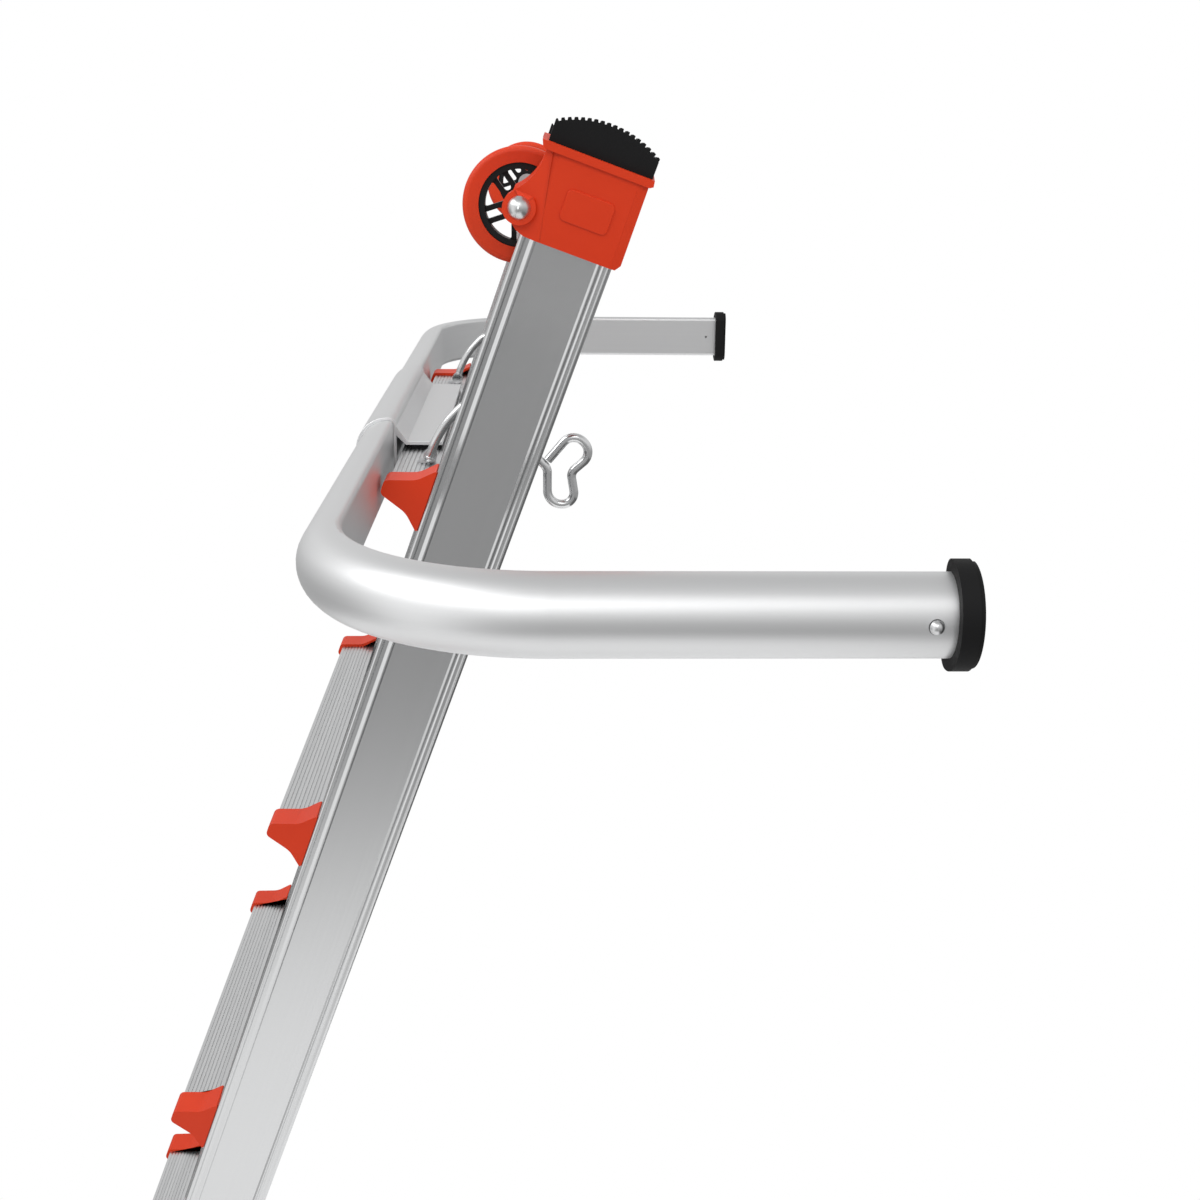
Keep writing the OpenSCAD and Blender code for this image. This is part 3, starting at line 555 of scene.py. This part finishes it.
orange = moulded("orange_nylon", colour=(0.615, 0.034, 0.0045), light=(0.66, 0.040, 0.006), rough=0.42)
for name in [n for n in nodes if "brackets" in n]:
    shape = merged(name)
    bends, noses = [], []
    for edge in shape.edges:
        run = edge.verts[1].co - edge.verts[0].co
        if len(edge.link_faces) == 2 and abs(run.x) > shortest_bend and abs(run.x) > sideways * run.length:
            fold = math.degrees(edge.calc_face_angle())
            at_front = min(f.normal @ across for f in edge.link_faces) < -forwards
            if not edge.is_convex and fold > least_bend:
                bends.append(edge)
            elif edge.is_convex and fold > least_nose and at_front:
                noses.append(edge)
    round_edges(shape, bends, bend_round, segments=5)
    round_edges(shape, [e for e in noses if e.is_valid], nose_round, segments=5)
    stand_in(shape, name, orange, edge_round, segments=3)

# Boots: shoes of the same nylon, pressed over the rail ends. Each has a thin lip round its
# rubber foot, an outer side that slopes back at the front and the rear, and a plain raised
# panel on that side.
crease_front, crease_rear, crease_slope = 0.0073, 0.0072, 0.27
# The outer side has at least this area, and its faces lie this near to one plane and one normal.
side_area, same_plane, same_way = 0.002, 1e-4, 0.9999
# The rim lies at these distances from the boot's end, and its two edges move towards that end.
rim_start, rim_middle, rim_stop = 0.0070, 0.0090, 0.0108
near_edge_rise, far_edge_rise = 0.0035, 0.0045
panel_half, panel_corner, panel_rise, panel_sink, panel_edge = (0.017, 0.011), 0.004, 0.0012, 0.001, 0.0005


def outer_face(shape, out_of, level):
    """The faces that lie in the plane of the boot's outer side."""
    return [f for f in shape.faces if f.normal @ out_of > same_way
            and abs(f.calc_center_median() @ out_of - level) < same_plane]


def slope_sides(shape, side, out_of):
    """Creases the outer side along the rail in two places, and slopes what lies past them."""
    level = side.calc_center_median_weighted() @ out_of
    front_crease = min(v.co @ across for v in side.verts) + crease_front
    rear_crease = max(v.co @ across for f in outer_face(shape, out_of, level) for v in f.verts) - crease_rear
    for crease in (front_crease, rear_crease):
        cut_across(shape, outer_face(shape, out_of, level), crease)
    shape.normal_update()
    flush = outer_face(shape, out_of, level)
    for v in {v for f in flush for v in f.verts}:
        past = max(front_crease - v.co @ across, v.co @ across - rear_crease, 0)
        v.co -= out_of * past * crease_slope
    return max(flush, key=lambda f: f.calc_area())


def thin_lip(shape, footward):
    """Moves the rim towards the boot's end, its far edge more than its near one."""
    end = max(v.co @ footward for v in shape.verts)
    for v in shape.verts:
        drop = end - v.co @ footward
        if rim_start < drop < rim_stop:
            v.co += footward * (far_edge_rise if drop > rim_middle else near_edge_rise)


def round_corners(shape, verts, width, segments):
    bmesh.ops.bevel(shape, geom=verts, offset=width, offset_type="OFFSET", segments=segments, profile=0.5,
                    affect="VERTICES", material=-1)


def thicken(shape, rise):
    """Makes a flat shape a plate, whose other side lies at the given step from the first.

    The walls in between come in another order on each run, so they are sorted by their corners.
    """
    raised = bmesh.ops.extrude_face_region(shape, geom=shape.faces)["geom"]
    far_side = {v for v in raised if isinstance(v, bmesh.types.BMVert)}
    bmesh.ops.translate(shape, verts=list(far_side), vec=rise)
    shape.verts.index_update()
    for parts in (shape.edges, shape.faces):
        flat = [part for part in parts if len(far_side.intersection(part.verts)) in (0, len(part.verts))]
        walls = sorted(set(parts).difference(flat), key=lambda part: sorted(v.index for v in part.verts))
        ranks = {part: rank for rank, part in enumerate(flat + walls)}
        parts.sort(key=ranks.get)


def raised_panel(seat):
    panel = bmesh.new()
    bmesh.ops.create_grid(panel, x_segments=1, y_segments=1, size=1)
    bmesh.ops.scale(panel, verts=panel.verts, vec=(*panel_half, 1))
    round_corners(panel, panel.verts, panel_corner, segments=6)
    thicken(panel, (0, 0, panel_rise + panel_sink))
    bmesh.ops.recalc_face_normals(panel, faces=panel.faces)
    bmesh.ops.transform(panel, matrix=seat, verts=panel.verts)
    return panel


for name in [n for n in nodes if "boot" in n]:
    shape = merged(name)
    side = max((f for f in shape.faces if f.calc_area() > side_area and abs(f.normal.x) > facing),
               key=lambda f: abs(f.calc_center_median_weighted().x))
    out_of = side.normal.copy()
    side = slope_sides(shape, side, out_of)
    footward = out_of.cross(across).normalized()
    if footward.z * (1 if name.startswith("upper") else -1) < 0:
        footward.negate()
    thin_lip(shape, footward)
    middle = side.calc_center_median_weighted()
    stand_in(shape, name, orange, edge_round, segments=3)
    upright = Matrix((across, out_of.cross(across), out_of)).transposed().to_4x4()
    panel = raised_panel(Matrix.Translation(middle - out_of * panel_sink) @ upright)
    piece = finished(panel, name + "_panel", orange, body_of[name])
    soft_edges(piece, panel_edge, segments=3)

# Feet: blocks of black rubber with a curved, toothed sole, pushed into the boots. Rubber
# is duller than the nylon and has a coarser grain.
rubber = moulded("black_rubber", colour=(0.0045, 0.0045, 0.0048), light=(0.0075, 0.0075, 0.008), rough=0.60,
                 grain=400, bump=0.08, shine=0.2)
paint(rubber, *[n for n in nodes if "foot" in n])

# Wheels: a black nylon hub with five pairs of spokes, moulded into an orange tyre, on a
# zinc plated axle with a domed head. The hub is a disc with a slot between the spokes of
# each pair and a window between pairs, a rim and a barrel.
tyre_orange = moulded("orange_tyre", colour=(0.61, 0.036, 0.006), light=(0.66, 0.046, 0.009), rough=0.40,
                      grain=500)
paint(tyre_orange, "tyre_left", "tyre_right")
black_plastic = moulded("black_nylon", colour=(0.006, 0.006, 0.0065), light=(0.010, 0.010, 0.011), rough=0.36)
rim_outer_r, rim_inner_r, barrel_r, bore_r = 0.0289, 0.0246, 0.0090, 0.0051
rim_half, barrel_half, plate_half, plate_lap = 0.0100, 0.0110, 0.0050, 0.002
spoke_pairs, first_pair = 5, math.radians(198)
spoke_off, spoke_half = 0.0043, 0.0018
slot_foot_r, slot_foot_round, slot_rim_round = 0.0125, 0.0024, 0.0009
window_foot_r, window_foot_round, window_rim_round = 0.0118, 0.0009, 0.0022
hub_edge = 0.0006
slot_steps, window_steps, ring_steps = 6, 12, 96


def ring_point(r, angle):
    """The point at a radius and an angle about the wheel's axis."""
    return Vector((0, r * math.cos(angle), r * math.sin(angle)))


def opening(shape, foot_r, start, arc_start, arc_end, end, steps, foot_round, rim_round):
    """A loop of edges with rounded corners: an arc along the rim, and two points nearer the barrel."""
    arc = [ring_point(rim_inner_r, arc_start + (arc_end - arc_start) * k / steps) for k in range(steps + 1)]
    verts = [shape.verts.new(p) for p in (ring_point(foot_r, start), *arc, ring_point(foot_r, end))]
    for a, b in zip(verts, verts[1:] + verts[:1]):
        shape.edges.new((a, b))
    corners = [([verts[0], verts[-1]], foot_round), ([verts[1], verts[-2]], rim_round)]
    for pair, width in sorted(corners, key=lambda c: c[1]):
        round_corners(shape, pair, width, segments=4)


def spoke_plate():
    """The flat web of the hub: a disc with a slot in each pair of spokes and a window between pairs."""
    shape = bmesh.new()
    bmesh.ops.create_circle(shape, cap_ends=False, segments=ring_steps, radius=rim_inner_r + plate_lap,
                            matrix=Matrix.Rotation(math.pi / 2, 4, "Y"))
    step = math.tau / spoke_pairs
    inner, outer = spoke_off - spoke_half, spoke_off + spoke_half
    slot_foot = math.atan2(inner, slot_foot_r)
    slot_rim = math.asin(inner / rim_inner_r)
    window_foot = math.asin(outer / window_foot_r)
    window_rim = math.asin(outer / rim_inner_r)
    for i in range(spoke_pairs):
        turn = first_pair + i * step
        opening(shape, math.hypot(slot_foot_r, inner), turn - slot_foot, turn - slot_rim, turn + slot_rim,
                turn + slot_foot, slot_steps, slot_foot_round, slot_rim_round)
        opening(shape, window_foot_r, turn + window_foot, turn + window_rim, turn + step - window_rim,
                turn + step - window_foot, window_steps, window_foot_round, window_rim_round)
    bmesh.ops.triangle_fill(shape, edges=shape.edges, use_beauty=True)
    thicken(shape, (2 * plate_half, 0, 0))
    bmesh.ops.translate(shape, verts=shape.verts, vec=(-plate_half, 0, 0))
    join_flat_faces(shape)
    return shape


def spun_ring(shape, inner, outer, half):
    """A ring round the wheel's axis, spun from its cross-section."""
    outline = ((-half, inner), (half, inner), (half, outer), (-half, outer))
    section = [shape.verts.new((x, r, 0)) for x, r in outline]
    edges = [shape.edges.new((a, b)) for a, b in zip(section, section[1:] + section[:1])]
    bmesh.ops.spin(shape, geom=section + edges, cent=(0, 0, 0), axis=(1, 0, 0), dvec=(0, 0, 0),
                   angle=math.tau, steps=ring_steps, use_merge=True, use_normal_flip=False,
                   use_duplicate=False)


for side in ("left", "right"):
    joint = next(j for j in frame["joints"] if j["name"] == "wheel_spin_" + side)
    shape = spoke_plate()
    spun_ring(shape, rim_inner_r, rim_outer_r, rim_half)
    spun_ring(shape, bore_r, barrel_r, barrel_half)
    bmesh.ops.recalc_face_normals(shape, faces=shape.faces)
    if side == "left":
        bmesh.ops.scale(shape, verts=shape.verts, vec=(-1, 1, 1))
        bmesh.ops.reverse_faces(shape, faces=shape.faces)
    bmesh.ops.translate(shape, verts=shape.verts, vec=joint["pos_m"])
    stand_in(shape, "wheel_hub_" + side, black_plastic, hub_edge, segments=2)

plated = drawn_metal("zinc_plate", colour=(0.74, 0.745, 0.75), spread=0.08, rough=0.31,
                     turn=(0, 0, 0), stretch=(60, 60, 60))
paint(plated, "wheel_axles")

# Rail locks: black nylon housings on the outer rails, each with a steel pin that an orange
# pull handle draws out of the inner rail's lock hole.
paint(black_plastic, *[n for n in nodes if "housing" in n])
paint(orange, *[n for n in nodes if "handle" in n])
paint(plated, *[n for n in nodes if "lock_pin" in n])

# Fold hinge: a fork on the lower half and a tongue on the upper one, both of zinc plated
# steel. They turn on a hollow steel sleeve, and an orange knob draws the lock pins.
hinge_steel = drawn_metal("hinge_steel", colour=(0.62, 0.63, 0.64), spread=0.14, rough=0.36,
                          turn=(0, 0, 0), stretch=(30, 30, 30))
paint(hinge_steel, *[n for n in nodes if "fork" in n or "tongue" in n])
paint(plated, "hinge_sleeves")
paint(orange, "hinge_knob_left", "hinge_knob_right")

# Stand-off: a satin anodised D-tube in two bent arms, joined in a sleeve whose plate lies
# on the top tread over a black liner. The arms end in rubber wall pads, and spring buttons
# of bright steel stand out near them.
sleeve_edge, pad_edge = 0.0004, 0.0035
tube_metal = drawn_metal("tube_aluminium", colour=(0.84, 0.845, 0.85), spread=0.015, rough=0.45,
                         turn=(0, 0, 0), stretch=(3, 3, 300), bump=0.001)
paint(tube_metal, "standoff_arm_left", "standoff_arm_right")
stand_in(merged("standoff_sleeve"), "standoff_sleeve", tube_metal, sleeve_edge, segments=3)
paint(rubber, "standoff_liner")
for name in ("wall_pad_left", "wall_pad_right"):
    stand_in(merged(name), name, rubber, pad_edge, segments=4)
paint(plated, "spring_button_left", "spring_button_right")

# Wire bail: one bow of bright zinc plated spring wire with a finger loop. It turns in two
# plated steel lugs on the top tread.
bright_wire = drawn_metal("bright_wire", colour=(0.78, 0.785, 0.79), spread=0.04, rough=0.16,
                          turn=(0, 0, 0), stretch=(60, 60, 60))
paint(bright_wire, "wire_bail")
paint(hinge_steel, "bail_lugs")
